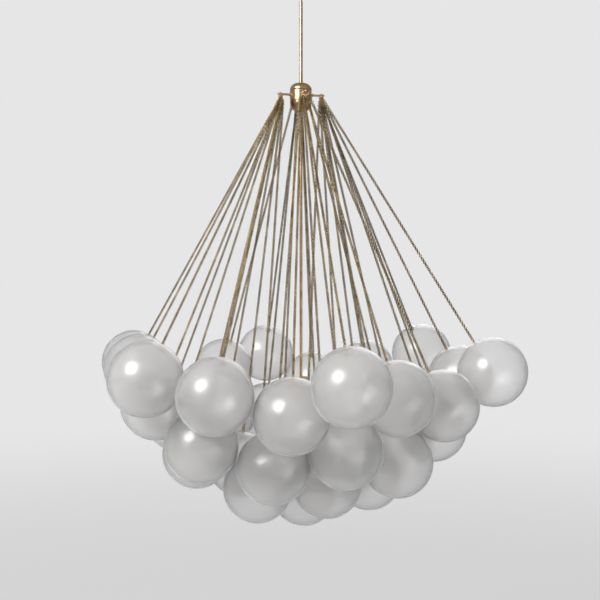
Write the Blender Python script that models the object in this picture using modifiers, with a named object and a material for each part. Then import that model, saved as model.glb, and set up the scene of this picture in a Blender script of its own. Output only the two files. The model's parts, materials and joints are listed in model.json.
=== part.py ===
"""Chandelier: a cloud of frosted glass globes, each hung on its own brass chain.

The ceiling is the plane z = 0 and everything hangs below it. The viewer stands on the -Y side,
with +X to the right. A strap screwed to the ceiling carries a canopy and a ball swivel. The
stem hangs on the swivel and carries a small hub with four arms. A ring rides on each arm with
its bundle of chains, and each chain ends in a stopper inside its globe. The lower stem goes on
from the hub to a cluster of three lamps in the hollow of the cloud. Lengths are in metres.
"""

import math
from itertools import combinations

import bmesh
import bpy
from mathutils import Vector

# Clearances and cutting allowances
touch_gap = 0.0003
cut_overrun = 0.002
merge_distance = 0.00001

# Ceiling strap with its nipple
strap_length = 0.104
strap_width = 0.020
strap_thickness = 0.003
slot_length = 0.022
slot_width = 0.006
slot_from_middle = 0.034
nipple_radius = 0.005
nipple_head_radius = 0.0065
nipple_head_height = 0.004

# Canopy and the collar that holds it up
canopy_radius = 0.060
canopy_depth = 0.042
canopy_wall = 0.0015
canopy_edge_radius = 0.012
collar_radius = 0.013
collar_height = 0.008

# Swivel under the canopy
ball_radius = 0.007
swivel_wall = 0.004
swivel_ledge = 0.003
swivel_web = 0.002
swivel_lip_depth = 0.0055
swivel_chamfer = 0.002

# Stems
stem_radius = 0.004
stem_neck_radius = 0.0028
stem_neck_length = 0.0045
stem_thread_radius = 0.0034
stem_nut_radius = 0.0065
stem_nut_height = 0.004
lower_stem_radius = 0.0033
lower_stem_head_radius = 0.007
lower_stem_head_height = 0.003

# Hub
hub_top_drop = 0.265
hub_radius = 0.025
hub_wall = 0.004
hub_body_height = 0.0255
hub_web_thickness = 0.004
hub_web_below_top = 0.0155
hub_dome_height = 0.017
hub_bowl_height = 0.022
hub_edge_chamfer = 0.001
cap_wall = 0.0015
cap_spigot_length = 0.0035

# Arms
arm_count = 4
first_arm_degrees = 12.0
arm_below_body_top = 0.0100
arm_stub_radius = 0.002
arm_rod_radius = 0.0025
arm_collar_radius = 0.0042
arm_collar_length = 0.003
arm_groove_radius = 0.002
arm_groove_from_root = 0.0225
arm_groove_width = 0.0036
arm_ball_radius = 0.0032

# Chains and the rings that gather them
ring_radius = 0.0065
ring_wire_radius = 0.0013
chain_radius = 0.0024
chain_spread_degrees = 150.0
stopper_radius = 0.006
stopper_thickness = 0.0025

# Globes and the cloud that they make
globe_diameter = 0.150
globe_wall = 0.003
globe_hole_radius = 0.004
globe_gap = 0.0006
rim_drop_below_arms = 0.611
cloud_radius_share = 2.82
cloud_depth_share = 1.93

# Lamp cluster in the cloud
lamp_drop_below_arms = 0.655
lamp_body_radius = 0.0075
lamp_body_height = 0.022
lamp_body_taper = 0.004
lamp_stem_socket_depth = 0.012
lamp_count = 3
first_lamp_degrees = 36.0
lamp_circle_radius = 0.0170
lamp_arm_radius = 0.0025
holder_radius = 0.0065
holder_above_arm = 0.008
holder_height = 0.020
holder_recess_radius = 0.0050
holder_recess_depth = 0.008
bulb_radius = 0.0070
bulb_length = 0.036
bulb_shoulder = 0.003

# Facets of the turned pieces
globe_sides = 9
globe_rows = 6
canopy_sides = 16
hub_sides = 12
stem_sides = 10
small_sides = 8
chain_sides = 5
ball_rows = 6
ring_steps = 10
round_steps = 3

# Where the globes hang, a row for each: the arm that carries the chain, the direction round
# the cloud in degrees from the front towards the right, and how far out and how far down the
# globe lies, as shares of the cloud's radius and depth.
globe_place_shares = (
    (1, 12, 1.03, 0.00), (2, 76, 1.00, 0.02), (2, 132, 0.98, -0.01),
    (3, 193, 1.00, 0.03), (4, 255, 0.97, 0.01), (4, 315, 1.00, 0.00),
    (1, 32, 0.83, 0.13), (2, 96, 0.87, 0.12), (2, 156, 1.01, 0.16),
    (3, 217, 0.77, 0.12), (4, 276, 0.86, 0.01), (4, 335, 0.91, 0.09),
    (1, 60, 0.80, 0.25), (2, 117, 0.85, 0.33), (3, 175, 0.83, 0.26),
    (4, 240, 0.89, 0.40), (4, 299, 0.81, 0.23), (1, 357, 0.79, 0.23),
    (1, 19, 0.66, 0.50), (2, 80, 0.70, 0.45), (2, 141, 0.71, 0.50),
    (3, 198, 0.66, 0.51), (4, 263, 0.67, 0.44), (4, 321, 0.75, 0.47),
    (4, 231, 0.57, 0.47), (1, 48, 0.62, 0.63), (2, 114, 0.61, 0.71),
    (3, 172, 0.70, 0.74), (4, 292, 0.57, 0.63), (1, 347, 0.58, 0.63),
    (1, 23, 0.33, 0.82), (2, 86, 0.36, 0.86), (2, 146, 0.42, 0.93),
    (3, 196, 0.41, 0.92), (4, 253, 0.35, 0.79), (4, 316, 0.32, 0.88),
    (2, 146, 0.03, 1.00),
)
settle_rounds = 600
settle_tolerance = 0.00002

# Heights worked out from the sizes above, from the ceiling downwards
collar_top = -canopy_depth - touch_gap
collar_bottom = collar_top - collar_height
swivel_top = collar_bottom - touch_gap
nipple_head_top = swivel_top - swivel_ledge - touch_gap
nipple_head_bottom = nipple_head_top - nipple_head_height
swivel_chamber_bottom = nipple_head_bottom - touch_gap
side_share = math.cos(math.pi / stem_sides)
socket_radius = (ball_radius + touch_gap) / side_share / math.cos(math.pi / ball_rows / 2)
ball_height = swivel_chamber_bottom - swivel_web - socket_radius
swivel_bottom = ball_height - swivel_lip_depth
swivel_radius = socket_radius + swivel_wall
hub_body_top = -hub_top_drop - hub_dome_height
hub_body_bottom = hub_body_top - hub_body_height
hub_web_top = hub_body_top - hub_web_below_top
hub_web_bottom = hub_web_top - hub_web_thickness
hub_bore_radius = hub_radius - hub_wall
bowl_bottom = hub_body_bottom - touch_gap - hub_bowl_height
arm_height = hub_body_top - arm_below_body_top
arm_root = hub_radius * math.cos(math.pi / hub_sides) + touch_gap
groove_middle = arm_root + arm_groove_from_root
ring_pivot_height = arm_height + arm_groove_radius + touch_gap + ring_wire_radius
rim_height = arm_height - rim_drop_below_arms
lamp_stem_end = arm_height - lamp_drop_below_arms
lamp_body_top = lamp_stem_end + lamp_stem_socket_depth
lamp_arm_height = lamp_body_top - cap_wall - lamp_arm_radius
holder_top = lamp_arm_height + holder_above_arm
globe_radius = globe_diameter / 2
globe_inner_radius = globe_radius - globe_wall
globe_pitch = globe_diameter + globe_gap
cloud_radius = cloud_radius_share * globe_pitch
cloud_depth = cloud_depth_share * globe_pitch


def clear_scene():
    """Start from an empty file with one collection for the parts and one for the cutters."""
    for obj in list(bpy.data.objects):
        bpy.data.objects.remove(obj, do_unlink=True)
    made = []
    for name in ("chandelier", "cutters"):
        group = bpy.data.collections.new(name)
        bpy.context.scene.collection.children.link(group)
        made.append(group)
    return made


parts, cutters = clear_scene()


def finish(name, colour, roughness, metallic, alpha=1.0, transmission=0.0):
    """A plain surface finish for the solids."""
    material = bpy.data.materials.new(name)
    material.use_nodes = True
    shader = material.node_tree.nodes["Principled BSDF"]
    shader.inputs["Base Color"].default_value = (*colour, 1.0)
    shader.inputs["Roughness"].default_value = roughness
    shader.inputs["Metallic"].default_value = metallic
    shader.inputs["Alpha"].default_value = alpha
    shader.inputs["Transmission Weight"].default_value = transmission
    return material


aged_brass = finish("aged_brass", (0.42, 0.31, 0.15), 0.32, 1.0)
chain_brass = finish("chain_brass", (0.36, 0.30, 0.18), 0.36, 1.0)
strap_steel = finish("strap_steel", (0.55, 0.55, 0.56), 0.40, 1.0)
frosted_glass = finish("frosted_glass", (0.80, 0.81, 0.84), 0.45, 0.0, 0.6, 0.6)
bulb_glass = finish("bulb_glass", (0.93, 0.91, 0.86), 0.30, 0.0)


def world_location(obj):
    """Where an object stands in the world; the parents here are moved but never turned."""
    total = Vector((0, 0, 0))
    while obj is not None:
        total += obj.location
        obj = obj.parent
    return total


def add_object(name, data, material, location=(0, 0, 0), parent=None):
    """Link an object as a part or, without a material, as a cutter, placed in the world."""
    obj = bpy.data.objects.new(name, data)
    obj.location = Vector(location) - world_location(parent)
    obj.parent = parent
    if material is None:
        cutters.objects.link(obj)
        obj.hide_render = True
        obj.display_type = "WIRE"
    else:
        parts.objects.link(obj)
        if not data.materials:
            data.materials.append(material)
    return obj


def profile_mesh(name, points, closed=False):
    """The edges through a profile's (radius, height) points, which run down its outer side."""
    mesh = bpy.data.meshes.new(name)
    edges = [(i, i + 1) for i in range(len(points) - 1)]
    if closed:
        edges.append((len(points) - 1, 0))
    mesh.from_pydata([(radius, 0, height) for radius, height in points], edges, [])
    return mesh


def turned(name, points, sides, material, location=(0, 0, 0), parent=None, closed=False):
    """A turned piece from the points of its profile."""
    obj = add_object(name, profile_mesh(name, points, closed), material, location, parent)
    spin(obj, sides)
    return obj


def point_along(obj, way):
    """Lean an object so that its own upright axis points along a direction."""
    obj.rotation_mode = "QUATERNION"
    obj.rotation_quaternion = Vector((0, 0, 1)).rotation_difference(way)
    return obj


def spin(obj, sides):
    """Turn an object's profile once round its own upright axis."""
    screw = obj.modifiers.new("turn", "SCREW")
    screw.axis = "Z"
    screw.angle = 2 * math.pi
    screw.steps = sides
    screw.render_steps = sides
    screw.use_merge_vertices = True
    screw.merge_threshold = merge_distance


def combine(obj, others, operation):
    """Join others to a solid, or cut them from it, one after the other."""
    for other in others:
        step = obj.modifiers.new(other.name, "BOOLEAN")
        step.operation = operation
        step.object = other
        step.solver = "EXACT"


def arc(radius, start_degrees, end_degrees, steps, middle=(0, 0)):
    """Points on a circle, by the angle from straight up towards the outside."""
    points = []
    for i in range(steps + 1):
        angle = math.radians(start_degrees + (end_degrees - start_degrees) * i / steps)
        points.append((middle[0] + radius * math.sin(angle), middle[1] + radius * math.cos(angle)))
    return points


def direction(degrees):
    """The level direction at an angle from the front towards the right."""
    angle = math.radians(degrees)
    return Vector((math.sin(angle), -math.cos(angle), 0))


def meshed(curve):
    """Turn a curve object into a mesh object with welded caps, in the same place."""
    bpy.context.view_layer.update()
    evaluated = curve.evaluated_get(bpy.context.evaluated_depsgraph_get())
    mesh = bpy.data.meshes.new_from_object(evaluated)
    work = bmesh.new()
    work.from_mesh(mesh)
    bmesh.ops.remove_doubles(work, verts=work.verts, dist=merge_distance)
    bmesh.ops.recalc_face_normals(work, faces=work.faces)
    work.to_mesh(mesh)
    work.free()
    name = curve.name
    matrix = curve.matrix_world.copy()
    bpy.data.objects.remove(curve, do_unlink=True)
    mesh.materials.clear()
    solid = add_object(name, mesh, None)
    solid.matrix_world = matrix
    return solid


def as_part(obj, material):
    """Move a finished helper among the parts."""
    cutters.objects.unlink(obj)
    parts.objects.link(obj)
    obj.hide_render = False
    obj.display_type = "TEXTURED"
    obj.data.materials.append(material)
    return obj


def flat_bar(name, length, width, thickness):
    """A flat bar with round ends along X, as thick above its middle as below."""
    points = []
    for side in (1, -1):
        for i in range(round_steps + 1):
            angle = math.pi * (i / round_steps - 0.5)
            x = (length - width) / 2 + width / 2 * math.cos(angle)
            points.append((side * x, side * width / 2 * math.sin(angle), 0, 1))
    curve = bpy.data.curves.new(name, "CURVE")
    curve.dimensions = "2D"
    curve.fill_mode = "BOTH"
    curve.extrude = thickness / 2
    spline = curve.splines.new("POLY")
    spline.points.add(len(points) - 1)
    for point, spot in zip(spline.points, points):
        point.co = spot
    spline.use_cyclic_u = True
    return meshed(add_object(name, curve, None, (0, 0, -strap_thickness / 2)))


def ceiling_strap():
    """The steel strap under the ceiling box, with two screw slots and the swivel's nipple."""
    strap = as_part(flat_bar("ceiling_strap", strap_length, strap_width, strap_thickness), strap_steel)
    slots = []
    for side in (1, -1):
        slot = flat_bar(f"slot_{side}", slot_length, slot_width, strap_thickness + 2 * cut_overrun)
        slot.location.x = side * slot_from_middle
        slots.append(slot)
    combine(strap, slots, "DIFFERENCE")
    profile = [
        (0, -strap_thickness / 2),
        (nipple_radius, -strap_thickness / 2),
        (nipple_radius, nipple_head_top),
        (nipple_head_radius, nipple_head_top),
        (nipple_head_radius, nipple_head_bottom),
        (0, nipple_head_bottom),
    ]
    combine(strap, [turned("nipple", profile, stem_sides, None)], "UNION")
    return strap


def canopy(strap):
    """The shallow brass cup that covers the ceiling box."""
    inner = canopy_radius - canopy_wall
    edge_middle = (canopy_radius - canopy_edge_radius, canopy_edge_radius - canopy_depth)
    hole = nipple_radius + touch_gap
    profile = [(canopy_radius, 0)]
    profile += arc(canopy_edge_radius, 90, 180, round_steps, edge_middle)
    profile += [(hole, -canopy_depth), (hole, canopy_wall - canopy_depth)]
    profile += arc(canopy_edge_radius - canopy_wall, 180, 90, round_steps, edge_middle)
    profile += [(inner, 0)]
    return turned("canopy", profile, canopy_sides, aged_brass, parent=strap, closed=True)


def canopy_collar(strap):
    """The ring nut on the nipple that holds the canopy up."""
    hole = nipple_radius + touch_gap
    profile = [
        (hole, collar_top),
        (collar_radius, collar_top),
        (collar_radius, collar_bottom),
        (hole, collar_bottom),
    ]
    return turned("canopy_collar", profile, stem_sides, aged_brass, parent=strap, closed=True)


def swivel_socket(strap):
    """The turning half of the swivel: it hangs on the nipple's head and holds the ball."""
    chamber = (nipple_head_radius + touch_gap) / side_share
    bore = (nipple_radius + touch_gap) / side_share
    lip_degrees = math.degrees(math.acos(-swivel_lip_depth / socket_radius))
    profile = [
        (0, swivel_chamber_bottom),
        (chamber, swivel_chamber_bottom),
        (chamber, nipple_head_top + touch_gap),
        (bore, nipple_head_top + touch_gap),
        (bore, swivel_top),
        (swivel_radius, swivel_top),
        (swivel_radius, swivel_bottom + swivel_chamfer),
        (swivel_radius - swivel_chamfer, swivel_bottom),
    ]
    profile += arc(socket_radius, lip_degrees, 0, ball_rows - 1, (0, ball_height))
    start = Vector((0, 0, swivel_chamber_bottom))
    local = [(radius, height - start.z) for radius, height in profile]
    return turned("swivel_socket", local, stem_sides, aged_brass, start, strap)


def upper_stem(socket):
    """The rod from the ball of the swivel down to its nut under the hub's web."""
    neck_degrees = 180 - math.degrees(math.asin(stem_neck_radius / ball_radius))
    neck_end = -ball_radius - stem_neck_length
    shoulder = neck_end - (stem_radius - stem_neck_radius)
    web_top = hub_web_top + touch_gap - ball_height
    nut_top = hub_web_bottom - touch_gap - ball_height
    profile = arc(ball_radius, 0, neck_degrees, ball_rows)
    profile += [
        (stem_neck_radius, neck_end),
        (stem_radius, shoulder),
        (stem_radius, web_top),
        (stem_thread_radius, web_top),
        (stem_thread_radius, nut_top),
        (stem_nut_radius, nut_top),
        (stem_nut_radius, nut_top - stem_nut_height),
        (0, nut_top - stem_nut_height),
    ]
    return turned("upper_stem", profile, stem_sides, aged_brass, (0, 0, ball_height), socket)


def hub_body(stem):
    """The drum of the hub: a wall with a web inside and a hole for each arm's stub."""
    bore = stem_thread_radius + touch_gap
    profile = [
        (hub_radius - hub_edge_chamfer, hub_body_top),
        (hub_radius, hub_body_top - hub_edge_chamfer),
        (hub_radius, hub_body_bottom + hub_edge_chamfer),
        (hub_radius - hub_edge_chamfer, hub_body_bottom),
        (hub_bore_radius, hub_body_bottom),
        (hub_bore_radius, hub_web_bottom),
        (bore, hub_web_bottom),
        (bore, hub_web_top),
        (hub_bore_radius, hub_web_top),
        (hub_bore_radius, hub_body_top),
    ]
    body = turned("hub_body", profile, hub_sides, aged_brass, parent=stem, closed=True)
    first = direction(first_arm_degrees)
    body.rotation_euler.z = math.atan2(first.y, first.x) - math.pi / hub_sides
    holes = []
    hole_radius = arm_stub_radius + touch_gap
    hole = [
        (0, cut_overrun),
        (hole_radius, cut_overrun),
        (hole_radius, -hub_wall - cut_overrun),
        (0, -hub_wall - cut_overrun),
    ]
    for arm in range(arm_count):
        way = direction(arm_degrees(arm))
        root = way * hub_radius + Vector((0, 0, arm_height))
        holes.append(point_along(turned(f"arm_hole_{arm + 1}", hole, small_sides, None, root), way))
    combine(body, holes, "DIFFERENCE")
    return body


def arm_degrees(arm):
    """Which way an arm points, from the front towards the right."""
    return first_arm_degrees + arm * 360 / arm_count


def hub_top_cap(body):
    """The domed lid of the hub, seated in its drum round the stem."""
    hole = stem_radius + touch_gap
    rim = hub_body_top + touch_gap
    spigot = hub_bore_radius - touch_gap
    flat = hole + cap_wall
    edge = rim + hub_edge_chamfer
    outer = dome(hole, flat, hub_radius, edge, hub_dome_height - touch_gap - hub_edge_chamfer)
    outer += [(hub_radius - hub_edge_chamfer, rim)]
    inner = dome(hole, flat, spigot - cap_wall, rim, hub_dome_height - touch_gap - cap_wall)
    foot = hub_body_top - cap_spigot_length
    profile = outer + [(spigot, rim), (spigot, foot), (spigot - cap_wall, foot)] + inner[::-1]
    return turned("hub_top_cap", profile, hub_sides, aged_brass, parent=body, closed=True)


def hub_bottom_cap(body):
    """The deep bowl under the hub, which carries the head of the lower stem."""
    hole = lower_stem_radius + touch_gap
    rim = hub_body_bottom - touch_gap
    spigot = hub_bore_radius - touch_gap
    flat = lower_stem_head_radius + 2 * touch_gap
    edge = rim - hub_edge_chamfer
    outer = dome(hole, flat, hub_radius, edge, hub_edge_chamfer - hub_bowl_height)
    outer += [(hub_radius - hub_edge_chamfer, rim)]
    inner = dome(hole, flat, spigot - cap_wall, rim, cap_wall - hub_bowl_height)
    head = hub_body_bottom + cap_spigot_length
    profile = inner + [(spigot - cap_wall, head), (spigot, head), (spigot, rim)] + outer[::-1]
    return turned("hub_bottom_cap", profile, hub_sides, aged_brass, parent=body, closed=True)


def dome(hole, flat, radius, rim, height):
    """The curve of a cap from the edge of its hole, past its flat middle, out to its rim."""
    points = [(hole, rim + height)]
    for i in range(round_steps + 1):
        angle = math.pi / 2 * i / round_steps
        points.append((flat + (radius - flat) * math.sin(angle), rim + height * math.cos(angle)))
    return points


def hub_arm(arm, stem):
    """One arm: a stub in the drum, a collar, the rod with a groove for the ring, and a ball."""
    half = arm_groove_width / 2
    groove = arm_groove_from_root
    ball_start = math.degrees(math.asin(arm_groove_radius / arm_ball_radius))
    ball_middle = (0, groove + half + arm_ball_radius * math.cos(math.radians(ball_start)))
    profile = arc(arm_ball_radius, 0, 180 - ball_start, round_steps, ball_middle)
    profile += [
        (arm_groove_radius, groove - half),
        (arm_rod_radius, groove - half),
        (arm_rod_radius, arm_collar_length),
        (arm_collar_radius, arm_collar_length),
        (arm_collar_radius, 0),
        (arm_stub_radius, 0),
        (arm_stub_radius, -hub_wall),
        (0, -hub_wall),
    ]
    way = direction(arm_degrees(arm))
    root = way * arm_root + Vector((0, 0, arm_height))
    return point_along(turned(f"hub_arm_{arm + 1}", profile, small_sides, aged_brass, root, stem), way)


def lower_stem(stem):
    """The thinner rod from the hub's bowl down to the lamps."""
    head_bottom = bowl_bottom + cap_wall + touch_gap
    profile = [
        (0, head_bottom + lower_stem_head_height),
        (lower_stem_head_radius, head_bottom + lower_stem_head_height),
        (lower_stem_head_radius, head_bottom),
        (lower_stem_radius, head_bottom),
        (lower_stem_radius, lamp_stem_end),
        (0, lamp_stem_end),
    ]
    return turned("lower_stem", profile, small_sides, aged_brass, parent=stem)


def lamp_place(lamp):
    """Where a lamp holder's axis stands."""
    return direction(first_lamp_degrees + lamp * 360 / lamp_count) * lamp_circle_radius


def lamp_cluster(stem):
    """The block on the stem's end with three short arms and their lamp holders."""
    bottom = lamp_body_top - lamp_body_height
    bore = lower_stem_radius + touch_gap
    floor = lamp_stem_end - touch_gap
    profile = [
        (0, floor),
        (bore, floor),
        (bore, lamp_body_top),
        (lamp_body_radius, lamp_body_top),
        (lamp_body_radius, bottom + lamp_body_taper),
        (bore, bottom),
        (0, bottom),
    ]
    cluster = turned("lamp_cluster", profile, stem_sides, aged_brass, parent=stem)
    joined = []
    for lamp in range(lamp_count):
        joined.append(lamp_arm(lamp))
        joined.append(lamp_holder(lamp))
    combine(cluster, joined, "UNION")
    return cluster


def lamp_arm(lamp):
    """A short level rod from the block's wall to the middle of a lamp holder."""
    way = lamp_place(lamp)
    start = (lower_stem_radius + touch_gap + lamp_body_radius) / 2
    profile = [
        (0, way.length),
        (lamp_arm_radius, way.length),
        (lamp_arm_radius, start),
        (0, start),
    ]
    arm = turned(f"lamp_arm_{lamp + 1}", profile, small_sides, None, (0, 0, lamp_arm_height))
    return point_along(arm, way)


def lamp_holder(lamp):
    """A small drum, open below for the bulb's base."""
    bottom = holder_top - holder_height
    profile = [
        (0, holder_top),
        (holder_radius, holder_top),
        (holder_radius, bottom),
        (holder_recess_radius, bottom),
        (holder_recess_radius, bottom + holder_recess_depth),
        (0, bottom + holder_recess_depth),
    ]
    return turned(f"lamp_holder_{lamp + 1}", profile, stem_sides, None, lamp_place(lamp))


def lamp_bulb(lamp, cluster):
    """A small capsule bulb pushed up into its holder."""
    bottom = holder_top - holder_height
    base = holder_recess_radius - touch_gap
    shoulder = bottom - touch_gap
    profile = [
        (0, bottom + holder_recess_depth - touch_gap),
        (base, bottom + holder_recess_depth - touch_gap),
        (base, shoulder),
        (bulb_radius, shoulder - bulb_shoulder),
    ]
    profile += arc(bulb_radius, 90, 180, round_steps, (0, shoulder + bulb_radius - bulb_length))
    return turned(f"lamp_bulb_{lamp + 1}", profile, stem_sides, bulb_glass, lamp_place(lamp), cluster)


def settled(spots):
    """Push apart any two globes that stand closer than one pitch, until none does."""
    for _ in range(settle_rounds):
        worst = 0
        for first, second in combinations(spots, 2):
            apart = second - first
            short = globe_pitch - apart.length
            if short > 0:
                worst = max(worst, short)
                nudge = apart.normalized() * short / 2
                first -= nudge
                second += nudge
        if worst < settle_tolerance:
            break
    return spots


def globe_spots():
    """The middle of every globe, from the table of shares."""
    spots = []
    for _, degrees, out_share, down_share in globe_place_shares:
        spot = direction(degrees) * out_share * cloud_radius
        spot.z = rim_height - down_share * cloud_depth
        spots.append(spot)
    return settled(spots)


def hang_spots(spots):
    """Where each chain leaves its ring, spread along the ring's lower half."""
    hangs = [None] * len(spots)
    for arm in range(arm_count):
        way = direction(arm_degrees(arm))
        across = Vector((-way.y, way.x, 0))
        middle = way * groove_middle + Vector((0, 0, ring_pivot_height - ring_radius))
        members = [i for i, row in enumerate(globe_place_shares) if row[0] == arm + 1]
        members.sort(key=lambda i: across.dot(spots[i]))
        for rank, i in enumerate(members):
            share = rank / (len(members) - 1) - 0.5
            angle = math.radians(chain_spread_degrees * share)
            down = Vector((0, 0, -math.cos(angle)))
            hangs[i] = middle + ring_radius * (down + across * math.sin(angle))
    return hangs


def seat_height(radius):
    """How high the stopper's top stands at a radius, just under the globe's inner wall."""
    edge = math.sqrt(globe_inner_radius ** 2 - globe_hole_radius ** 2)
    row = math.pi / globe_rows
    next_radius = globe_inner_radius * math.sin(row)
    next_height = globe_inner_radius * math.cos(row)
    slope = (next_height - edge) / (next_radius - globe_hole_radius)
    return edge - globe_gap + slope * (radius - globe_hole_radius)


def chain(number, spot, hang):
    """One chain as a plain strand, from its ring to the stopper inside its globe."""
    line = hang - spot
    edge = seat_height(stopper_radius)
    profile = [
        (0, line.length),
        (chain_radius, line.length),
        (chain_radius, seat_height(chain_radius)),
        (stopper_radius, edge),
        (stopper_radius, edge - stopper_thickness),
        (0, edge - stopper_thickness),
    ]
    return point_along(turned(f"chain_{number:02d}", profile, chain_sides, None, spot), line)


def chain_bundle(arm, stem, spots, hangs):
    """The ring on an arm with the chains that hang from it, made one solid."""
    way = direction(arm_degrees(arm))
    bpy.ops.mesh.primitive_torus_add(
        major_segments=ring_steps,
        minor_segments=chain_sides,
        major_radius=ring_radius,
        minor_radius=ring_wire_radius,
        location=(0, 0, -ring_radius),
        rotation=way.to_track_quat("Z", "X").to_euler(),
    )
    made = bpy.context.object
    mesh = made.data
    bpy.context.view_layer.update()
    mesh.transform(made.matrix_world)
    bpy.data.objects.remove(made, do_unlink=True)
    pivot = way * groove_middle + Vector((0, 0, ring_pivot_height))
    bundle = add_object(f"chain_bundle_{arm + 1}", mesh, chain_brass, pivot, stem)
    strands = []
    for i, row in enumerate(globe_place_shares):
        if row[0] == arm + 1:
            strands.append(chain(i + 1, spots[i], hangs[i]))
    combine(bundle, strands, "UNION")
    return bundle


def globe_profile():
    """The wall of a blown globe: up the inside from the bottom, and down the outside."""
    row = 180 / globe_rows
    inner_edge = (globe_hole_radius, math.sqrt(globe_inner_radius ** 2 - globe_hole_radius ** 2))
    outer_edge = (globe_hole_radius, math.sqrt(globe_radius ** 2 - globe_hole_radius ** 2))
    inner = arc(globe_inner_radius, 180, row, globe_rows - 1)
    outer = arc(globe_radius, row, 180, globe_rows - 1)
    return inner + [inner_edge, outer_edge] + outer


def globe(number, mesh, spot, hang, bundle):
    """One globe, its hole turned towards its chain."""
    obj = point_along(add_object(f"globe_{number:02d}", mesh, frosted_glass, spot, bundle), hang - spot)
    spin(obj, globe_sides)
    return obj


def chandelier():
    """Build every piece from the ceiling downwards."""
    strap = ceiling_strap()
    canopy(strap)
    canopy_collar(strap)
    stem = upper_stem(swivel_socket(strap))
    body = hub_body(stem)
    hub_top_cap(body)
    hub_bottom_cap(body)
    cluster = lamp_cluster(lower_stem(stem))
    for lamp in range(lamp_count):
        lamp_bulb(lamp, cluster)
    spots = globe_spots()
    hangs = hang_spots(spots)
    bundles = []
    for arm in range(arm_count):
        hub_arm(arm, stem)
        bundles.append(chain_bundle(arm, stem, spots, hangs))
    mesh = profile_mesh("globe", globe_profile())
    for i, row in enumerate(globe_place_shares):
        globe(i + 1, mesh, spots[i], hangs[i], bundles[row[0] - 1])


chandelier()
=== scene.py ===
# %% [markdown]
# # A cloud of frosted globes on brass chains
# This lamp hangs 37 blown glass globes on chains of small oval links. The chains gather on four
# rings round a little brass hub, and the hub hangs on a rod from the ceiling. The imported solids
# are the fixed frame: they say where every piece is and what moves. Here each faceted solid gets
# a smooth, finished twin that rides on the same body.
# %% Load the frame
import json
import math

import bmesh
import bpy
from mathutils import Matrix, Vector

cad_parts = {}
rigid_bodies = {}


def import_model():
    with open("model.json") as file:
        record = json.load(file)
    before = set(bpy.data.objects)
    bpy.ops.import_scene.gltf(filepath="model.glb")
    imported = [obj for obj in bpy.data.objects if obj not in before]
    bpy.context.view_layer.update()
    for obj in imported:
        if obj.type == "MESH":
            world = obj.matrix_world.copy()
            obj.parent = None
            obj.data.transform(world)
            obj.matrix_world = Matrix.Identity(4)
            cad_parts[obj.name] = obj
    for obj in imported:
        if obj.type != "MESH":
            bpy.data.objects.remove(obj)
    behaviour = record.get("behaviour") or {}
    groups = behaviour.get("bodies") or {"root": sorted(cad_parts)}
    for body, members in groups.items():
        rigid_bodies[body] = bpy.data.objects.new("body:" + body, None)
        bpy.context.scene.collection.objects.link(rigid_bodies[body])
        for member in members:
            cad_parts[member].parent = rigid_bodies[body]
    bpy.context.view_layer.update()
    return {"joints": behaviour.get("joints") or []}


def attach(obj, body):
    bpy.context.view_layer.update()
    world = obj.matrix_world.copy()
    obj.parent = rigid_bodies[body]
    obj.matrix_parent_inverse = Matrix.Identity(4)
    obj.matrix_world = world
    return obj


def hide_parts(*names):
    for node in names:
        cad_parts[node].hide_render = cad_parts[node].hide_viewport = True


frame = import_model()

joints = {joint["name"]: joint for joint in frame["joints"]}
print("joints:", len(joints))

# %% [markdown]
# ## The camera
# The photograph was taken level, about two metres in front of the rod. A level camera keeps
# the rod upright, and the small shift moves the picture's middle below the horizon, as the
# photograph has it.
# %% Camera
picture_pixels = 600
focal_pixels = 920
horizon_row = 275
camera_spot = (-0.0023, -2.085, -0.700)
camera_data = bpy.data.cameras.new("camera")
camera_data.sensor_width = 36
camera_data.lens = camera_data.sensor_width * focal_pixels / picture_pixels
camera_data.shift_y = (horizon_row - picture_pixels / 2) / picture_pixels
camera = bpy.data.objects.new("camera", camera_data)
camera.location = camera_spot
camera.rotation_euler = (math.radians(90), 0, 0)
bpy.context.scene.collection.objects.link(camera)
bpy.context.scene.camera = camera
print("camera", round(-camera_spot[1], 2), "m in front of the rod, lens", round(camera_data.lens, 1), "mm")

# %% [markdown]
# ## Helpers for node trees
# Every finish here is a small tree of nodes. Two short helpers keep the trees readable: one adds
# a node and fills its inputs, the other makes a material and hands back its main shader. Three
# more add a pattern on the piece, a colour ramp, and a range that a pattern is spread over.
# %% Node helpers


def add_node(tree, kind, inputs=None, **settings):
    """Add a node, set its properties, and fill or link its inputs."""
    node = tree.nodes.new(kind)
    for name, value in settings.items():
        setattr(node, name, value)
    for name, value in (inputs or {}).items():
        if isinstance(value, bpy.types.NodeSocket):
            tree.links.new(value, node.inputs[name])
        else:
            node.inputs[name].default_value = value
    return node


def new_material(name, **values):
    """A material with one main shader whose plain numbers are set by name."""
    material = bpy.data.materials.new(name)
    material.use_nodes = True
    shader = material.node_tree.nodes["Principled BSDF"]
    for key, value in values.items():
        shader.inputs[key.replace("_", " ").title().replace("Ior", "IOR")].default_value = value
    return material, material.node_tree, shader


def object_pattern(tree, kind, scale, stretch=(1, 1, 1), **inputs):
    """A pattern on Object coordinates, stretched along the axes."""
    place = add_node(tree, "ShaderNodeTexCoord")
    mapped = add_node(tree, "ShaderNodeMapping", {
        "Vector": place.outputs["Object"], "Scale": stretch,
    })
    return add_node(tree, kind, {"Vector": mapped.outputs["Vector"], "Scale": scale, **inputs})


def ramp(tree, factor, stops):
    """A colour ramp through (position, colour) stops."""
    node = add_node(tree, "ShaderNodeValToRGB", {"Fac": factor})
    elements = node.color_ramp.elements
    while len(elements) < len(stops):
        elements.new(0.5)
    for element, (position, colour) in zip(elements, stops):
        element.position = position
        element.color = (*colour, 1)
    return node.outputs["Color"]


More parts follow.
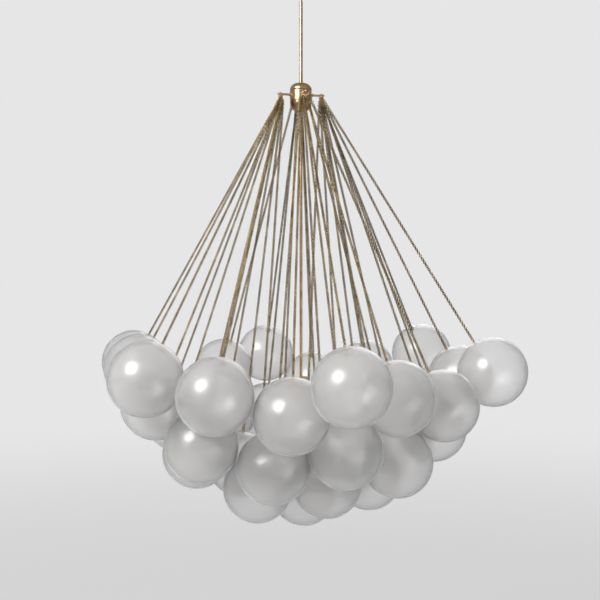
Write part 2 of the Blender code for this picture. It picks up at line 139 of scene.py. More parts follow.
def spread(tree, factor, low, high):
    """Map a pattern from 0-1 onto a range of values."""
    node = add_node(tree, "ShaderNodeMapRange", {"Value": factor, "To Min": low, "To Max": high})
    return node.outputs["Result"]


print("node helpers ready")

# %% [markdown]
# ## Brass
# The rod and the hub are turned brass with a thin clear lacquer: warm, satin, a little browner in
# broad clouds. The lathe leaves very fine lines round each piece, so a noise squeezed along
# the upright axis moves both the roughness and a faint bump. The chains are the same metal with an
# older, darker skin, and steel is only used up at the ceiling.
# %% Brass and steel
cloud_scale = 38
line_scale = 60
bump_strength = 0.12


def metal(name, tones, roughness, line_stretch, line_depth):
    """A metal whose tone clouds over and whose surface keeps fine tool lines."""
    material, tree, shader = new_material(name, metallic=1.0)
    clouds = object_pattern(tree, "ShaderNodeTexNoise", cloud_scale, Detail=3.0)
    lines = object_pattern(tree, "ShaderNodeTexNoise", line_scale, line_stretch, Detail=4.0)
    colour = ramp(tree, clouds.outputs["Fac"], tones)
    tree.links.new(colour, shader.inputs["Base Color"])
    tree.links.new(spread(tree, lines.outputs["Fac"], *roughness), shader.inputs["Roughness"])
    bump = add_node(tree, "ShaderNodeBump", {
        "Height": lines.outputs["Fac"], "Strength": bump_strength, "Distance": line_depth,
    })
    tree.links.new(bump.outputs["Normal"], shader.inputs["Normal"])
    return material


aged_brass = metal(
    "aged_brass",
    tones=[(0.30, (0.44, 0.28, 0.15)), (0.55, (0.62, 0.42, 0.24)), (0.75, (0.74, 0.54, 0.33))],
    roughness=(0.22, 0.34), line_stretch=(1, 1, 160), line_depth=0.00002,
)
chain_brass = metal(
    "chain_brass",
    tones=[(0.30, (0.20, 0.14, 0.065)), (0.52, (0.36, 0.27, 0.13)), (0.72, (0.58, 0.46, 0.25))],
    roughness=(0.20, 0.36), line_stretch=(1, 1, 1), line_depth=0.00003,
)
strap_steel = metal(
    "strap_steel",
    tones=[(0.30, (0.42, 0.43, 0.44)), (0.55, (0.56, 0.57, 0.58)), (0.75, (0.66, 0.66, 0.66))],
    roughness=(0.28, 0.46), line_stretch=(1, 14, 14), line_depth=0.00003,
)
print("metals:", aged_brass.name, chain_brass.name, strap_steel.name)

# %% [markdown]
# ## Frosted glass
# The globes are blown clear and then etched on the inside to a fine, even matt. Light goes in,
# scatters and comes out softly, so a globe behind another still shows as a blurred disc.
# Transmission with some roughness gives the blur, and the grain of the etching is a very fine
# noise in the bump. A thin satin coat and a little sheen give the soft bloom round a lamp's shine.
# %% Frosted glass
glass_ior = 1.45
broad_scale = 22
grain_scale = 1400
grain_depth = 0.00005


def etched_glass(name, colour, transmission, roughness):
    """Glass with an etched skin under a thin satin coat."""
    material, tree, shader = new_material(
        name, transmission_weight=transmission, ior=glass_ior, base_color=(*colour, 1),
        coat_weight=0.42, coat_roughness=0.36, sheen_weight=0.6, sheen_roughness=0.35,
    )
    broad = object_pattern(tree, "ShaderNodeTexNoise", broad_scale, Detail=2.0)
    grain = object_pattern(tree, "ShaderNodeTexNoise", grain_scale, Detail=2.0)
    tree.links.new(spread(tree, broad.outputs["Fac"], *roughness), shader.inputs["Roughness"])
    bump = add_node(tree, "ShaderNodeBump", {
        "Height": grain.outputs["Fac"], "Strength": bump_strength, "Distance": grain_depth,
    })
    tree.links.new(bump.outputs["Normal"], shader.inputs["Normal"])
    return material


frosted_glass = etched_glass(
    "frosted_glass", colour=(0.99, 0.985, 0.98), transmission=0.88, roughness=(0.18, 0.23),
)
bulb_glass = etched_glass(
    "bulb_glass", colour=(0.95, 0.93, 0.88), transmission=0.25, roughness=(0.28, 0.34),
)
print("glass:", frosted_glass.name, bulb_glass.name)

# %% [markdown]
# ## Turned pieces
# Nearly all of the metal is made on a lathe, so one helper turns a profile of (radius, height)
# points into a closed mesh. A second helper first rounds the profile's corners, because a real
# edge is never perfectly sharp and the small round is what catches the light.
# %% Lathe helpers
nearly_straight_degrees = 150
most_edge_share = 0.4
support_share = 0.2
on_axis = 1e-7


def rounded(points, radius, closed=False, steps=3):
    """Round the corners of a profile, with a support point on each side of the round."""
    out = []
    for i, corner in enumerate(points):
        if not closed and i in (0, len(points) - 1):
            out.append(corner)
            continue
        here = Vector(corner)
        before = Vector(points[i - 1]) - here
        after = Vector(points[(i + 1) % len(points)]) - here
        if before.angle(after) > math.radians(nearly_straight_degrees):
            out.append(corner)
            continue
        reach = min(radius, most_edge_share * before.length, most_edge_share * after.length)
        start = here + before.normalized() * reach
        end = here + after.normalized() * reach
        out.append(tuple(start + before.normalized() * reach * support_share))
        for k in range(steps + 1):
            t = k / steps
            out.append(tuple(start * (1 - t) ** 2 + here * 2 * t * (1 - t) + end * t ** 2))
        out.append(tuple(end + after.normalized() * reach * support_share))
    return out


def lathe(points, turns=64, closed=False):
    """A mesh turned from a profile that runs down its outer side."""
    build = bmesh.new()
    angles = [2 * math.pi * j / turns for j in range(turns)]
    rings = []
    for radius, height in points:
        if radius < on_axis:
            rings.append([build.verts.new((0, 0, height))] * turns)
        else:
            spots = [(radius * math.cos(a), radius * math.sin(a), height) for a in angles]
            rings.append([build.verts.new(spot) for spot in spots])
    pairs = list(zip(rings, rings[1:]))
    if closed:
        pairs.append((rings[-1], rings[0]))
    for upper, lower in pairs:
        for j in range(turns):
            k = (j + 1) % turns
            corners = list(dict.fromkeys((upper[j], lower[j], lower[k], upper[k])))
            if len(corners) > 2:
                build.faces.new(corners)
    return to_mesh(build)


def to_mesh(build):
    """Finish a bmesh as a smooth-shaded mesh."""
    mesh = bpy.data.meshes.new("made")
    build.to_mesh(mesh)
    build.free()
    mesh.polygons.foreach_set("use_smooth", [True] * len(mesh.polygons))
    return mesh


def arc(radius, start_degrees, end_degrees, steps, middle=(0, 0)):
    """Points on a circle by the angle from straight up towards the outside."""
    points = []
    for i in range(steps + 1):
        angle = math.radians(start_degrees + (end_degrees - start_degrees) * i / steps)
        points.append((middle[0] + radius * math.sin(angle), middle[1] + radius * math.cos(angle)))
    return points


def facing(spot, way, side=None):
    """The matrix that stands a piece's upright axis along a direction at a spot."""
    up = Vector(way).normalized()
    if side is None:
        turn = Vector((0, 0, 1)).rotation_difference(up).to_matrix()
    else:
        across = (Vector(side) - up * up.dot(Vector(side))).normalized()
        turn = Matrix((across, up.cross(across), up)).transposed()
    return Matrix.Translation(Vector(spot)) @ turn.to_4x4()


def merged(parts):
    """One mesh from (mesh, matrix) pairs."""
    build = bmesh.new()
    for mesh, matrix in parts:
        copy = mesh.copy()
        copy.transform(matrix)
        build.from_mesh(copy)
        bpy.data.meshes.remove(copy)
    return to_mesh(build)


def piece(name, mesh, material, slot, body, *nodes):
    """Put a finished mesh in the scene, on its body and in place of its solids."""
    obj = bpy.data.objects.new(name, mesh)
    mesh.name = name
    mesh.materials.clear()
    mesh.materials.append(material)
    bpy.context.scene.collection.objects.link(obj)
    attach(obj, body)
    if nodes:
        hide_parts(*nodes)
    return obj


def upright(name, points, body, *nodes, edge=0.0006, closed=False):
    """A turned brass piece that stands upright on the rod's axis."""
    mesh = lathe(rounded(points, edge, closed), closed=closed)
    return piece(name, mesh, aged_brass, "aged_brass", body, *nodes)


print("lathe helpers ready")

# %% [markdown]
# ## At the ceiling
# A steel strap is screwed to the ceiling box through its two slots, and a threaded nipple hangs
# from it. The strap is a flat outline with holes, so a filled 2D curve makes it in one go. The
# canopy is a pressed cup, so it is a thin closed profile with a rolled edge.
# %% Strap, canopy and collar
gap = 0.0003
strap_length = 0.104
strap_width = 0.020
strap_thickness = 0.003
slot_length = 0.022
slot_width = 0.006
slot_from_middle = 0.034
nipple_radius = 0.005
nipple_head_radius = 0.0065
nipple_head_height = 0.004
thread_count = 28
thread_start = -0.0032
thread_pitch = 0.0018
thread_depth = 0.0003
canopy_radius = 0.060
canopy_depth = 0.042
canopy_wall = 0.0015
canopy_edge_radius = 0.012
canopy_hole_radius = 0.0053
collar_radius = 0.013
collar_height = 0.008
collar_chamfer = 0.0015
swivel_ledge = 0.003
collar_top = -canopy_depth - gap
collar_bottom = collar_top - collar_height
swivel_top = collar_bottom - gap
nipple_head_top = swivel_top - swivel_ledge - gap
nipple_head_bottom = nipple_head_top - nipple_head_height


def slot_outline(length, width, middle):
    """The outline of a round-ended slot along X."""
    points = []
    for side in (1, -1):
        for x, y in arc(width / 2, 180, 0, 16):
            points.append((middle + side * ((length - width) / 2 + x), side * y, 0, 1))
    return points


def flat_plate(outlines, thickness, edge):
    """A plate with a small bevel, from one outer outline and its holes."""
    curve = bpy.data.curves.new("plate", "CURVE")
    curve.dimensions = "2D"
    curve.fill_mode = "BOTH"
    curve.extrude = thickness / 2 - edge
    curve.bevel_depth = edge
    curve.offset = -edge
    curve.bevel_resolution = 2
    for outline in outlines:
        spline = curve.splines.new("POLY")
        spline.points.add(len(outline) - 1)
        for point, spot in zip(spline.points, outline):
            point.co = spot
        spline.use_cyclic_u = True
    flat = bpy.data.objects.new("plate", curve)
    bpy.context.scene.collection.objects.link(flat)
    bpy.context.view_layer.update()
    mesh = bpy.data.meshes.new_from_object(flat.evaluated_get(bpy.context.evaluated_depsgraph_get()))
    bpy.data.objects.remove(flat, do_unlink=True)
    return mesh


outlines = [slot_outline(strap_length, strap_width, 0)]
outlines += [slot_outline(slot_length, slot_width, side * slot_from_middle) for side in (1, -1)]
plate = flat_plate(outlines, strap_thickness, edge=0.0003)
strap_middle = -strap_thickness / 2
nipple = [(0, strap_middle), (nipple_radius, strap_middle)]
for half_turn in range(2 * thread_count):
    radius = nipple_radius - thread_depth if half_turn % 2 else nipple_radius
    nipple.append((radius, thread_start - half_turn * thread_pitch / 2))
nipple += [
    (nipple_radius, nipple_head_top), (nipple_head_radius, nipple_head_top),
    (nipple_head_radius, nipple_head_bottom), (0, nipple_head_bottom),
]
strap_mesh = merged([
    (plate, Matrix.Translation((0, 0, strap_middle))),
    (lathe(nipple, turns=32), Matrix.Identity(4)),
])
level_enough = 0.999
for face in strap_mesh.polygons:
    face.use_smooth = abs(face.normal.z) < level_enough
piece("strap", strap_mesh, strap_steel, "strap_steel", "ceiling_fitting", "ceiling_strap")

edge_middle = (canopy_radius - canopy_edge_radius, canopy_edge_radius - canopy_depth)
canopy_profile = [(canopy_radius, 0)] + arc(canopy_edge_radius, 90, 180, 10, edge_middle)
canopy_profile += [(canopy_hole_radius, -canopy_depth), (canopy_hole_radius, canopy_wall - canopy_depth)]
canopy_profile += arc(canopy_edge_radius - canopy_wall, 180, 90, 10, edge_middle)
canopy_profile += [(canopy_radius - canopy_wall, 0)]
upright("canopy_cup", canopy_profile, "ceiling_fitting", "canopy", edge=0.0005, closed=True)
collar_profile = [
    (canopy_hole_radius, collar_top), (collar_radius, collar_top),
    (collar_radius, collar_bottom + collar_chamfer), (collar_radius - collar_chamfer, collar_bottom),
    (canopy_hole_radius, collar_bottom),
]
upright("collar_nut", collar_profile, "ceiling_fitting", "canopy_collar", closed=True)
print("ceiling fitting:", len(canopy_profile), "points in the canopy's profile")

# %% [markdown]
# ## Swivel and rod
# The rod ends in a ball that sits in the swivel's cup, so the lamp hangs plumb under any
# ceiling. The cup's mouth is a piece of a sphere a little larger than the ball. Both are turned,
# so both are profiles, and the ball is an arc that runs on into the rod's neck.
# %% Swivel and upper rod
ball_height = joints["stem_swing"]["pos_m"][2]
ball_radius = 0.007
socket_radius = 0.0079
socket_lip_depth = 0.0055
swivel_radius = 0.0119
swivel_bottom = -0.0736
swivel_chamfer = 0.002
swivel_bore_radius = 0.0055
chamber_radius = 0.0071
chamber_top = nipple_head_top + gap
chamber_bottom = nipple_head_bottom - gap
rod_radius = 0.004
rod_neck_radius = 0.0028
rod_neck_end = -0.0796
rod_shoulder = -0.0809
rod_thread_radius = 0.0034
nut_radius = 0.0065
nut_height = 0.004
web_top = -0.2975
web_bottom = -0.3015
nut_top = web_bottom - gap
socket_lip_degrees = math.degrees(math.acos(-socket_lip_depth / socket_radius))
swivel_profile = [
    (0, chamber_bottom), (chamber_radius, chamber_bottom), (chamber_radius, chamber_top),
    (swivel_bore_radius, chamber_top), (swivel_bore_radius, swivel_top), (swivel_radius, swivel_top),
    (swivel_radius, swivel_bottom + swivel_chamfer), (swivel_radius - swivel_chamfer, swivel_bottom),
] + arc(socket_radius, socket_lip_degrees, 0, 12, (0, ball_height))
upright("swivel_cup", swivel_profile, "swivel", "swivel_socket", edge=0.0004)
ball_neck_degrees = 180 - math.degrees(math.asin(rod_neck_radius / ball_radius))
rod_profile = arc(ball_radius, 0, ball_neck_degrees, 24, (0, ball_height)) + [
    (rod_neck_radius, rod_neck_end), (rod_radius, rod_shoulder), (rod_radius, web_top + gap),
    (rod_thread_radius, web_top + gap), (rod_thread_radius, nut_top), (nut_radius, nut_top),
    (nut_radius, nut_top - nut_height), (0, nut_top - nut_height),
]
upright("upper_rod", rod_profile, "stem_and_hub", "upper_stem", edge=0.0003)
print("ball at", round(ball_height, 4))

# %% [markdown]
# ## Hub
# Three turned pieces meet at two fine grooves: a low dome, a straight drum and a deeper bowl.
# The grooves come from small chamfers on the edges that meet. The four arms screw into the drum,
# each with a collar at its root, a groove for its ring and a ball at its end.
# %% Hub and arms
hub_radius = 0.025
hub_edge = 0.001
drum_top = -0.282
drum_bottom = -0.3075
drum_bore_radius = 0.021
web_hole_radius = 0.0037
spigot_radius = 0.0207
spigot_inner_radius = 0.0192
spigot_length = 0.0035
dome_hole_radius = 0.0043
dome_flat_radius = 0.0058
dome_height = 0.0157
dome_inside_height = 0.0152
bowl_hole_radius = 0.0036
bowl_flat_radius = 0.0076
bowl_height = 0.021
bowl_inside_height = 0.0205
arm_height = -0.292
arm_count = 4
first_arm_degrees = 12
arm_degrees = [first_arm_degrees + 360 // arm_count * arm for arm in range(arm_count)]


def cap_curve(hole, flat, radius, rim, height, steps=18):
    """The outline of a cap from the edge of its hole, past its flat middle, out to its rim."""
    points = [(hole, rim + height)]
    for i in range(steps + 1):
        angle = math.pi / 2 * i / steps
        points.append((flat + (radius - flat) * math.sin(angle), rim + height * math.cos(angle)))
    return points


dome_rim = drum_top + gap
dome_foot = drum_top - spigot_length
dome = cap_curve(dome_hole_radius, dome_flat_radius, hub_radius, dome_rim + hub_edge, dome_height)
dome_inside = cap_curve(
    dome_hole_radius, dome_flat_radius, spigot_inner_radius, dome_rim, dome_inside_height,
)
dome_profile = dome + [
    (hub_radius - hub_edge, dome_rim), (spigot_radius, dome_rim), (spigot_radius, dome_foot),
    (spigot_inner_radius, dome_foot),
] + dome_inside[::-1]
upright("hub_dome", dome_profile, "stem_and_hub", "hub_top_cap", edge=0.0004, closed=True)
bowl_rim = drum_bottom - gap
bowl_head = drum_bottom + spigot_length
bowl = cap_curve(bowl_hole_radius, bowl_flat_radius, hub_radius, bowl_rim - hub_edge, -bowl_height)
bowl_inside = cap_curve(
    bowl_hole_radius, bowl_flat_radius, spigot_inner_radius, bowl_rim, -bowl_inside_height,
)
bowl_profile = bowl_inside + [
    (spigot_inner_radius, bowl_head), (spigot_radius, bowl_head), (spigot_radius, bowl_rim),
    (hub_radius - hub_edge, bowl_rim),
] + bowl[::-1]
upright("hub_bowl", bowl_profile, "stem_and_hub", "hub_bottom_cap", edge=0.0004, closed=True)
drum_profile = [
    (drum_bore_radius, drum_top), (hub_radius - hub_edge, drum_top), (hub_radius, drum_top - hub_edge),
    (hub_radius, drum_bottom + hub_edge), (hub_radius - hub_edge, drum_bottom),
    (drum_bore_radius, drum_bottom), (drum_bore_radius, web_bottom), (web_hole_radius, web_bottom),
    (web_hole_radius, web_top), (drum_bore_radius, web_top),
]
upright("hub_drum", drum_profile, "stem_and_hub", "hub_body", edge=0.0007, closed=True)


def level_way(degrees):
    """The level direction at an angle from the front towards the right."""
    return Vector((math.sin(math.radians(degrees)), -math.cos(math.radians(degrees)), 0))


arm_ball_radius = 0.0032
arm_ball_middle = 0.0268
arm_groove_radius = 0.002
arm_groove_start = 0.0207
arm_rod_radius = 0.0025
arm_rod_end = 0.0203
arm_collar_radius = 0.0042
arm_collar_length = 0.003
arm_collar_round = 0.0004
arm_stub_radius = 0.0021
arm_stub_length = 0.004
arm_root_inset = 0.0005
arm_neck_degrees = 180 - math.degrees(math.asin(arm_groove_radius / arm_ball_radius))
arm_profile = arc(arm_ball_radius, 0, arm_neck_degrees, 14, (0, arm_ball_middle)) + [
    (arm_groove_radius, arm_groove_start), (arm_rod_radius, arm_rod_end),
    (arm_rod_radius, arm_collar_length), (arm_collar_radius, arm_collar_length - arm_collar_round),
    (arm_collar_radius, arm_collar_round), (arm_stub_radius, 0),
    (arm_stub_radius, -arm_stub_length), (0, -arm_stub_length),
]
arm_mesh = lathe(rounded(arm_profile, radius=0.0005), turns=32)
for number, degrees in enumerate(arm_degrees, 1):
    way = level_way(degrees)
    root = way * (hub_radius - arm_root_inset) + Vector((0, 0, arm_height))
    mesh = merged([(arm_mesh, facing(root, way))])
    piece(f"arm_{number}", mesh, aged_brass, "aged_brass", "stem_and_hub", f"hub_arm_{number}")
print("arms at", arm_degrees, "degrees")

# %% [markdown]
# ## Lower rod and lamps
# A thinner rod drops from the bowl to a small block in the hollow of the cloud. Three short rods
# carry the lamp holders, which are plain cups with a frosted capsule bulb in each. Block, rods
# and holders are brazed together, so they make one piece.
# %% Lower rod, lamp block and bulbs
lower_head_radius = 0.007
lower_head_top = -0.325
lower_head_bottom = -0.328
lower_rod_radius = 0.0033
lower_rod_end = -0.947
lower_profile = [
    (0, lower_head_top), (lower_head_radius, lower_head_top), (lower_head_radius, lower_head_bottom),
    (lower_rod_radius, lower_head_bottom), (lower_rod_radius, lower_rod_end), (0, lower_rod_end),
]
upright("lower_rod", lower_profile, "stem_and_hub", "lower_stem", edge=0.0004)
lamp_count = 3
first_lamp_degrees = 36
lamp_circle = 0.017
lamp_arm_height = -0.939
lamp_arm_radius = 0.0025
lamp_arm_start = 0.0056
block_bore_radius = lower_rod_radius + gap
block_floor = lower_rod_end - gap
block_radius = 0.0075
block_top = -0.935
block_bottom = -0.957
block_taper = 0.004
holder_radius = 0.0065
holder_top = -0.931
holder_bottom = -0.951
recess_radius = 0.0050
recess_top = -0.943
lamp_ways = [level_way(first_lamp_degrees + 360 // lamp_count * lamp) for lamp in range(lamp_count)]
block_profile = [
    (0, block_floor), (block_bore_radius, block_floor), (block_bore_radius, block_top),
    (block_radius, block_top), (block_radius, block_bottom + block_taper),
    (block_bore_radius, block_bottom), (0, block_bottom),
]
holder_profile = [
    (0, holder_top), (holder_radius, holder_top), (holder_radius, holder_bottom),
    (recess_radius, holder_bottom), (recess_radius, recess_top), (0, recess_top),
]
arm_rod_profile = [
    (0, lamp_circle), (lamp_arm_radius, lamp_circle), (lamp_arm_radius, lamp_arm_start),
    (0, lamp_arm_start),
]
block_mesh = lathe(rounded(block_profile, radius=0.0006), turns=48)
lamp_parts = [(block_mesh, Matrix.Identity(4))]
holder_mesh = lathe(rounded(holder_profile, radius=0.0008), turns=48)
arm_rod_mesh = lathe(rounded(arm_rod_profile, radius=0.0003), turns=24)
for way in lamp_ways:
    lamp_parts.append((holder_mesh, Matrix.Translation(way * lamp_circle)))
    lamp_parts.append((arm_rod_mesh, facing((0, 0, lamp_arm_height), way)))
piece("lamp_block", merged(lamp_parts), aged_brass, "aged_brass", "stem_and_hub", "lamp_cluster")
bulb_radius = 0.0070
bulb_neck_radius = recess_radius - gap
bulb_top = recess_top - gap
bulb_shoulder = holder_bottom - gap
bulb_shoulder_height = 0.003
bulb_end_middle = -0.9803
bulb_profile = [
    (0, bulb_top), (bulb_neck_radius, bulb_top), (bulb_neck_radius, bulb_shoulder),
    (bulb_radius, bulb_shoulder - bulb_shoulder_height),
] + arc(bulb_radius, 90, 180, 12, (0, bulb_end_middle))
bulb_mesh = lathe(rounded(bulb_profile, radius=0.0006), turns=40)
for number, way in enumerate(lamp_ways, 1):
    mesh = merged([(bulb_mesh, Matrix.Translation(way * lamp_circle))])
    piece(f"bulb_{number}", mesh, bulb_glass, "bulb_glass", "stem_and_hub", f"lamp_bulb_{number}")
print("lamps:", len(lamp_ways))

# %% [markdown]
# ## Globes
# Each globe is a thin blown shell with a small hole at its top, lipped where the glass was
# fire-polished. All 37 share one profile. A globe's joint gives its middle and the way that its
# chain pulls, which is all that is needed to stand the shell in its place.
# %% Globes
globe_radius = 0.075
globe_wall = 0.003
hole_radius = 0.0042
wall_steps = 30
lip_steps = 8
shell_turns = 60
globe_names = sorted(name.removesuffix("_spin") for name in joints if name.endswith("_spin"))


def globe_shell():
    """The shell, from the inside of its bottom up to the lip and down the outside."""
    inner_radius = globe_radius - globe_wall
    lip = globe_wall / 2
    middle = globe_radius - lip
    lip_degrees = math.degrees(math.asin((hole_radius + lip) / middle))
    spot = (hole_radius + lip, middle * math.cos(math.radians(lip_degrees)))
    points = arc(inner_radius, 180, lip_degrees, wall_steps)
    points += arc(lip, lip_degrees - 180, lip_degrees, lip_steps, spot)[1:-1]
    points += arc(globe_radius, lip_degrees, 180, wall_steps)
    points[0] = (0, -inner_radius)
    points[-1] = (0, -globe_radius)
    return lathe(points, shell_turns)


shell = globe_shell()
for name in globe_names:
    joint = joints[f"{name}_spin"]
    mesh = merged([(shell, facing(joint["pos_m"], joint["axis"]))])
    piece(f"{name}_glass", mesh, frosted_glass, "frosted_glass", f"{name}_body", name)
print("globes:", len(globe_names))

# %% [markdown]
# ## Chains
# A chain is the same oval link over and over, each turned a quarter against the last. Geometry
# Nodes suit this well: the tree resamples each chain's line at the link's pitch, sets a
# link on every point and turns every second one. The first link is turned so that the ring's
# loop passes through it, and from there a slow twist leads round to an eighth of a turn, which
# shows both sets of links at a slant, as the small chains in the photograph do.
# %% Chain tree
link_pitch = 0.0044
link_width = 0.0072
wire_radius = 0.0010
end_round_share = 0.499
twist_step_degrees = 5
full_twist_degrees = 45


def chain_tree():
    """Links along every line of a curve; the sizes and the first link's flat way are inputs."""
    tree = bpy.data.node_groups.new("chain", "GeometryNodeTree")
    face = tree.interface
    face.new_socket("Geometry", in_out="INPUT", socket_type="NodeSocketGeometry")
    for name in ("Link pitch", "Link width", "Wire radius"):
        face.new_socket(name, in_out="INPUT", socket_type="NodeSocketFloat")
    face.new_socket("Flat way", in_out="INPUT", socket_type="NodeSocketVector")
    face.new_socket("Material", in_out="INPUT", socket_type="NodeSocketMaterial")
    face.new_socket("Geometry", in_out="OUTPUT", socket_type="NodeSocketGeometry")
    given = add_node(tree, "NodeGroupInput").outputs

    def number(operation, first, second):
        node = add_node(tree, "ShaderNodeMath", {0: first, 1: second}, operation=operation)
        return node.outputs[0]

    thick = number("MULTIPLY", given["Wire radius"], 2.0)
    across = number("SUBTRACT", given["Link width"], thick)
    along = number("ADD", given["Link pitch"], thick)
    box = add_node(tree, "GeometryNodeCurvePrimitiveQuadrilateral", {"Width": across, "Height": along})
    end_round = number("MULTIPLY", across, end_round_share)
    soft = add_node(tree, "GeometryNodeFilletCurve", {
        "Curve": box.outputs["Curve"], "Count": 2, "Radius": end_round,
    }, mode="POLY")
    wire = add_node(tree, "GeometryNodeCurvePrimitiveCircle", {
        "Resolution": 4, "Radius": given["Wire radius"],
    })
    link = add_node(tree, "GeometryNodeCurveToMesh", {
        "Curve": soft.outputs["Curve"], "Profile Curve": wire.outputs["Curve"],
    })
    stood = add_node(tree, "GeometryNodeTransform", {
        "Geometry": link.outputs["Mesh"], "Rotation": (math.radians(90), 0, 0),
    })
    spots = add_node(tree, "GeometryNodeResampleCurve", {
        "Curve": given["Geometry"], "Length": given["Link pitch"],
    }, mode="LENGTH")
    tangent = add_node(tree, "GeometryNodeInputTangent")
    order = add_node(tree, "GeometryNodeSplineParameter")
    lengthways = add_node(tree, "FunctionNodeAlignRotationToVector", {
        "Vector": tangent.outputs["Tangent"],
    }, axis="Z")
    threaded = add_node(tree, "FunctionNodeAlignRotationToVector", {
        "Rotation": lengthways.outputs["Rotation"], "Vector": given["Flat way"],
    }, axis="X", pivot_axis="Z")
    odd = number("MODULO", order.outputs["Index"], 2.0)
    slow_twist = number("MULTIPLY", order.outputs["Index"], math.radians(twist_step_degrees))
    twist = number("MINIMUM", slow_twist, math.radians(full_twist_degrees))
    turn = number("ADD", number("MULTIPLY", odd, math.pi / 2), twist)
    quarter = add_node(tree, "ShaderNodeCombineXYZ", {"Z": turn})
    turned = add_node(tree, "FunctionNodeRotateRotation", {
        "Rotation": threaded.outputs["Rotation"], "Rotate By": quarter.outputs["Vector"],
    }, rotation_space="LOCAL")
    placed = add_node(tree, "GeometryNodeInstanceOnPoints", {
        "Points": spots.outputs["Curve"], "Instance": stood.outputs["Geometry"],
        "Rotation": turned.outputs["Rotation"],
    })
    real = add_node(tree, "GeometryNodeRealizeInstances", {"Geometry": placed.outputs["Instances"]})
    smooth = add_node(tree, "GeometryNodeSetShadeSmooth", {"Geometry": real.outputs["Geometry"]})
    painted = add_node(tree, "GeometryNodeSetMaterial", {
        "Geometry": smooth.outputs["Geometry"], "Material": given["Material"],
    })
    add_node(tree, "NodeGroupOutput", {"Geometry": painted.outputs["Geometry"]})
    return tree


def nodes_mesh(lines, tree, values):
    """Run a tree over lines of points and give back the plain mesh that it makes."""
    curve = bpy.data.curves.new("lines", "CURVE")
    curve.dimensions = "3D"
    for line in lines:
        spline = curve.splines.new("POLY")
        spline.points.add(len(line) - 1)
        for point, spot in zip(spline.points, line):
            point.co = (*spot, 1)
    carrier = bpy.data.objects.new("lines", curve)
    bpy.context.scene.collection.objects.link(carrier)
    step = carrier.modifiers.new("links", "NODES")
    step.node_group = tree
    for item in tree.interface.items_tree:
        if item.in_out == "INPUT" and item.name in values:
            step[item.identifier] = values[item.name]
    bpy.context.view_layer.update()
    mesh = bpy.data.meshes.new_from_object(carrier.evaluated_get(bpy.context.evaluated_depsgraph_get()))
    carrier.modifiers.remove(step)
    bpy.data.objects.remove(carrier, do_unlink=True)
    return mesh


links = chain_tree()
print("chain tree with", len(links.nodes), "nodes")

# %% [markdown]
# ## Rings and end fittings
# All the chains of one arm hang on one round ring, each by a small round loop. There are too many
# to lie side by side on it, so below the ring they spread into a bunch, each on the side that its
# globe pulls it to. The other end of each chain goes down through the globe's hole and hooks on
# a loop that stands on a disc inside. The disc sits against the glass from below and carries the
# globe's weight.
# %% Chains, rings and discs
ring_radius = 0.0065
ring_wire_radius = 0.0013
loop_radius = 0.0034
eye_radius = 0.0026
bunch_drop = 0.006
bunch_half_width = 0.0115
bunch_half_depth = 0.0050
disc_radius = 0.0058
disc_top = -0.0044
disc_thickness = 0.0022
disc_rise = 0.0006


def round_ring(radius, wire, turns, sides):
    """A closed round ring of wire about the upright axis."""
    return lathe(arc(wire, 0, 360 * (sides - 1) / sides, sides - 1, (radius, 0)), turns, closed=True)


def between(values):
    """A rule that places a value from -1 at the least of the given ones to 1 at the greatest."""
    low, high = min(values), max(values)
    return lambda value: 2 * (value - low) / (high - low) - 1


ring_mesh = round_ring(ring_radius, ring_wire_radius, turns=48, sides=12)
loop_mesh = round_ring(loop_radius, wire_radius, turns=16, sides=6)
eye_mesh = round_ring(eye_radius, wire_radius, turns=16, sides=6)
disc_bottom = disc_top - disc_thickness
disc_profile = [(0, disc_top), (disc_radius, disc_top), (disc_radius, disc_bottom), (0, disc_bottom)]
disc_mesh = lathe(rounded(disc_profile, radius=0.0005), turns=20)
members = {number: [] for number in range(1, len(arm_degrees) + 1)}
for name in globe_names:
    joint = joints[f"{name}_spin"]
    bundle_number = int(joint["parent"].split("_")[1])
    members[bundle_number].append((Vector(joint["pos_m"]), Vector(joint["axis"])))

for number, degrees in enumerate(arm_degrees, 1):
    way = level_way(degrees)
    across = way.cross(Vector((0, 0, 1)))
    pivot = Vector(joints[f"bundle_{number}_swing"]["pos_m"])
    ring_middle = pivot - Vector((0, 0, ring_radius))
    bunch_middle = pivot - Vector((0, 0, 2 * ring_radius + bunch_drop))
    lines = []
    fittings = [(ring_mesh, facing(ring_middle, way))]
    across_place = between([across.dot(middle) for middle, _ in members[number]])
    out_place = between([way.dot(middle) for middle, _ in members[number]])
    for middle, pull in members[number]:
        hang = middle + pull * ((pivot - middle).dot(way) / pull.dot(way))
        loop = hang - pull * (loop_radius - wire_radius - ring_wire_radius)
        seat = globe_radius + disc_rise
        eye = middle + pull * (seat + disc_top + eye_radius + wire_radius / 2)
        loop_reach = pull * (loop_radius - wire_radius + link_pitch / 2)
        eye_reach = pull * (eye_radius - wire_radius + link_pitch / 2)
        bunch = bunch_middle + across * across_place(across.dot(middle)) * bunch_half_width
        bunch += way * out_place(way.dot(middle)) * bunch_half_depth
        lines.append((loop - loop_reach, bunch, eye + eye_reach))
        fittings.append((loop_mesh, facing(loop, across, pull)))
        fittings.append((eye_mesh, facing(eye, way, pull)))
        fittings.append((disc_mesh, facing(middle + pull * seat, pull)))
    values = {
        "Link pitch": link_pitch, "Link width": link_width, "Wire radius": wire_radius,
        "Flat way": across, "Material": chain_brass,
    }
    chain_mesh = nodes_mesh(lines, links, values)
    piece(f"bundle_{number}_chains", chain_mesh, chain_brass, "chain_brass",
          f"bundle_{number}", f"chain_bundle_{number}")
    piece(f"bundle_{number}_fittings", merged(fittings), aged_brass, "aged_brass", f"bundle_{number}")
    print("bundle", number, "chains", len(lines), "link faces", len(chain_mesh.polygons))

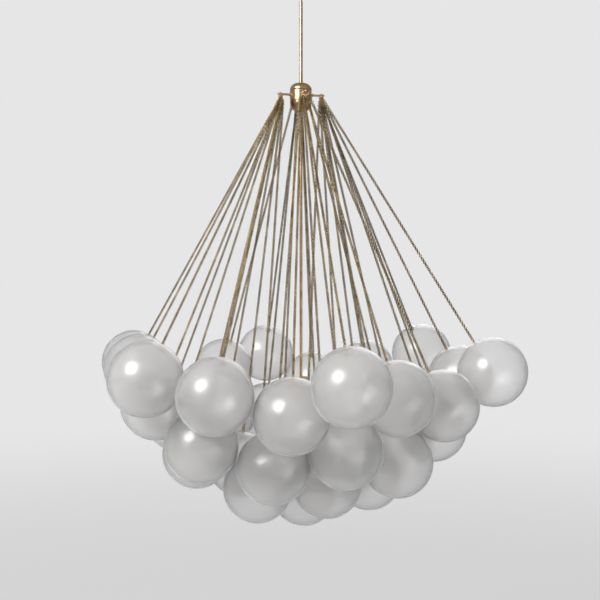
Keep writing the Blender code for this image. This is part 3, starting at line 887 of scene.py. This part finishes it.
# %% [markdown]
# ## Floor, air and light
# A plain pale floor lies a room's height below the ceiling. The world is pale where the camera
# sees it, straight or through the glass, and a good deal darker as a light. One large soft lamp
# stands high at the front left, as in the photograph. Two weak ones help it, one at the front
# right and one behind.
# %% Stage and light


def pale_light_path(tree, pale, plain):
    """Pale where the camera looks, straight or through glass, and plain for everything else."""
    path = add_node(tree, "ShaderNodeLightPath")
    clear = add_node(tree, "ShaderNodeMath", {
        0: path.outputs["Is Camera Ray"], 1: path.outputs["Is Transmission Ray"],
    }, operation="MAXIMUM")
    return add_node(tree, "ShaderNodeMix", {
        "Factor": clear.outputs[0], "A": plain, "B": pale,
    }, data_type="FLOAT").outputs["Result"]


floor_height = -2.4
floor_size = 60
floor_grey = (0.80, 0.80, 0.80, 1)
fade_start = 0.5
fade_end = 9.0
least_glow = 0.55
pale_air = (0.86, 0.86, 0.87, 1)
pale_strength = 0.92
plain_strength = 0.38
bpy.ops.mesh.primitive_plane_add(size=floor_size, location=(0, 0, floor_height))
floor = bpy.context.object
floor.name = "floor"
floor_paint, floor_tree, floor_shader = new_material("floor_paint", roughness=0.8)
floor_shader.inputs["Base Color"].default_value = floor_grey
glow = add_node(floor_tree, "ShaderNodeEmission", {"Color": pale_air, "Strength": pale_strength})
spot = add_node(floor_tree, "ShaderNodeTexCoord")
away = add_node(floor_tree, "ShaderNodeVectorMath", {0: spot.outputs["Object"]}, operation="LENGTH")
fade = add_node(floor_tree, "ShaderNodeMapRange", {
    "Value": away.outputs["Value"], "From Min": fade_start, "From Max": fade_end,
    "To Min": least_glow, "To Max": 1.0,
}, interpolation_type="SMOOTHSTEP")
amount = add_node(floor_tree, "ShaderNodeMath", {
    0: fade.outputs["Result"], 1: pale_light_path(floor_tree, 1.0, 0.0),
}, operation="MULTIPLY")
mixed = add_node(floor_tree, "ShaderNodeMixShader", {
    "Fac": amount.outputs[0], 1: floor_shader.outputs["BSDF"], 2: glow.outputs["Emission"],
})
floor_tree.links.new(mixed.outputs["Shader"], floor_tree.nodes["Material Output"].inputs["Surface"])
floor.data.materials.append(floor_paint)

world = bpy.data.worlds.new("air")
bpy.context.scene.world = world
world.use_nodes = True
background = world.node_tree.nodes["Background"]
background.inputs["Color"].default_value = pale_air
seen = pale_light_path(world.node_tree, pale_strength, plain_strength)
world.node_tree.links.new(seen, background.inputs["Strength"])


def soft_lamp(name, spot, target, size, power):
    """A large round lamp aimed at a point."""
    data = bpy.data.lights.new(name, "AREA")
    data.shape = "DISK"
    data.size = size
    data.energy = power
    lamp = bpy.data.objects.new(name, data)
    lamp.location = spot
    lamp.rotation_euler = (Vector(target) - Vector(spot)).to_track_quat("-Z", "Y").to_euler()
    bpy.context.scene.collection.objects.link(lamp)


cloud_middle = (0, 0, -0.95)
soft_lamp("key", (-1.9, -2.2, 0.85), cloud_middle, size=1.9, power=105)
soft_lamp("fill", (2.0, -2.1, -1.25), cloud_middle, size=1.6, power=9)
soft_lamp("back", (0.6, 2.4, 0.4), cloud_middle, size=2.0, power=12)
bpy.context.scene.view_settings.view_transform = "Standard"
